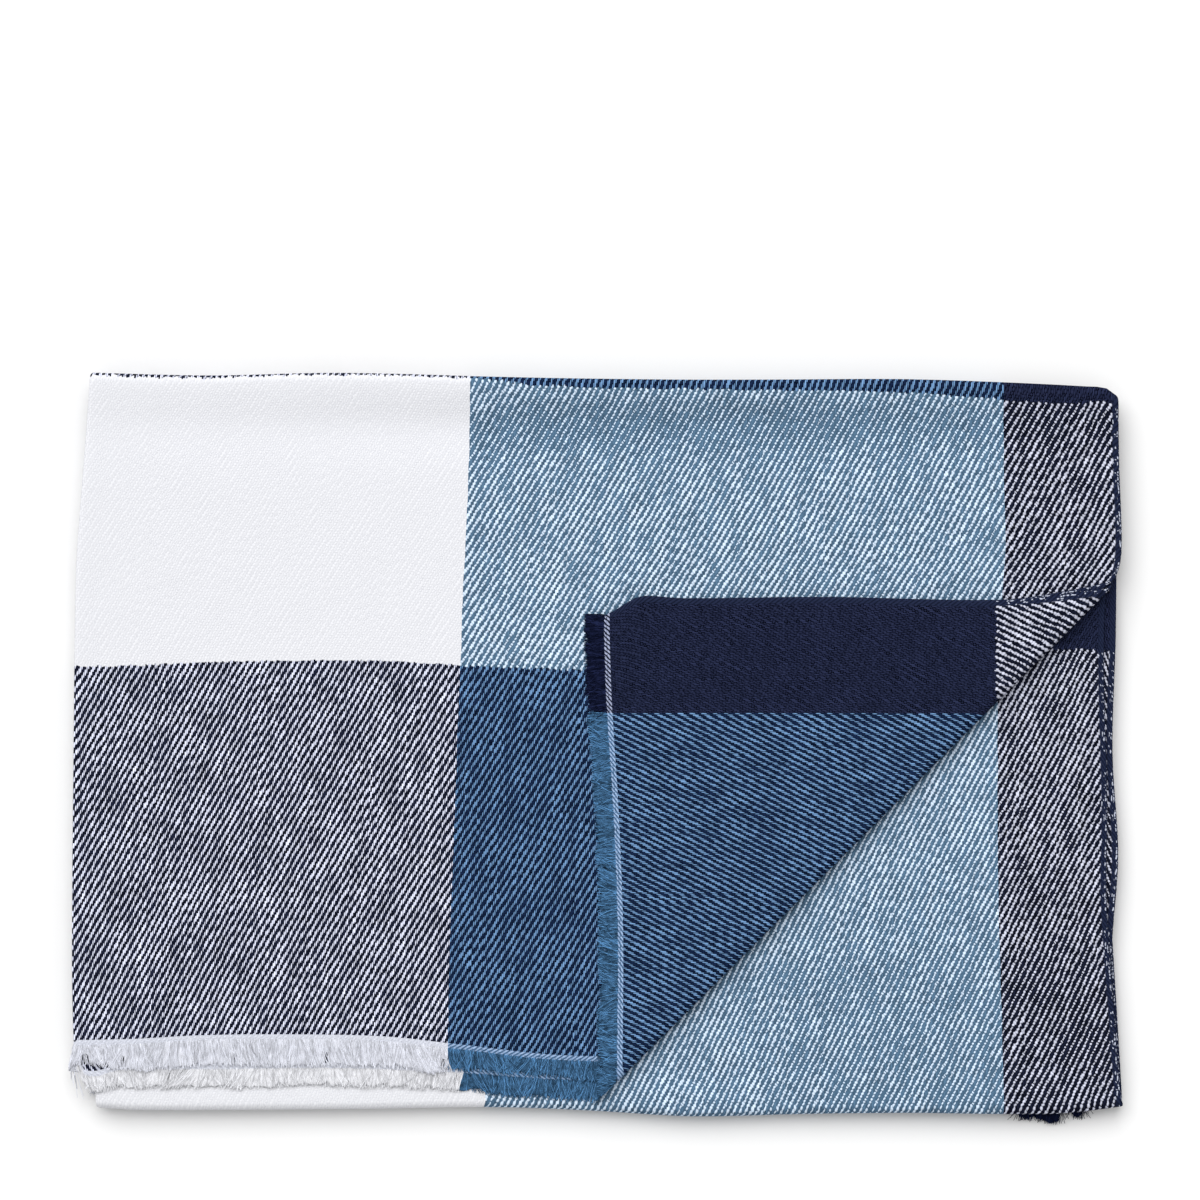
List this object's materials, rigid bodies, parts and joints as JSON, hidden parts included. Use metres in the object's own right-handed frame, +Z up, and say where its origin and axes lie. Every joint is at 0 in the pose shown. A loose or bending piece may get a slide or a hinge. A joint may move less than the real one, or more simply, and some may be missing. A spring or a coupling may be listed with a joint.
{
  "type": "folded throw blanket",
  "caption": "Woven cotton throw with a large block check and short fringed ends, folded flat into a packet with one corner turned back over the top.",
  "frame": {"origin": "middle of the packet's underside, on the surface that it rests on", "axes": "+X along the width of the packet, from the fold of the cloth's width towards its selvedges; +Y from the front edge, where the top fringe hangs, to the back fold; +Z up"},
  "size_m": [0.6566, 0.4686, 0.0268],
  "materials": {
    "woven_cotton": "soft 2/2 twill of thick cotton yarn in white, mid blue and navy",
    "fringe_cotton": "loose cut cotton yarn ends"
  },
  "bodies": {
    "root": {"cloth": "woven_cotton", "fringe_top": "fringe_cotton", "fringe_under": "fringe_cotton"}
  },
  "joints": []
}
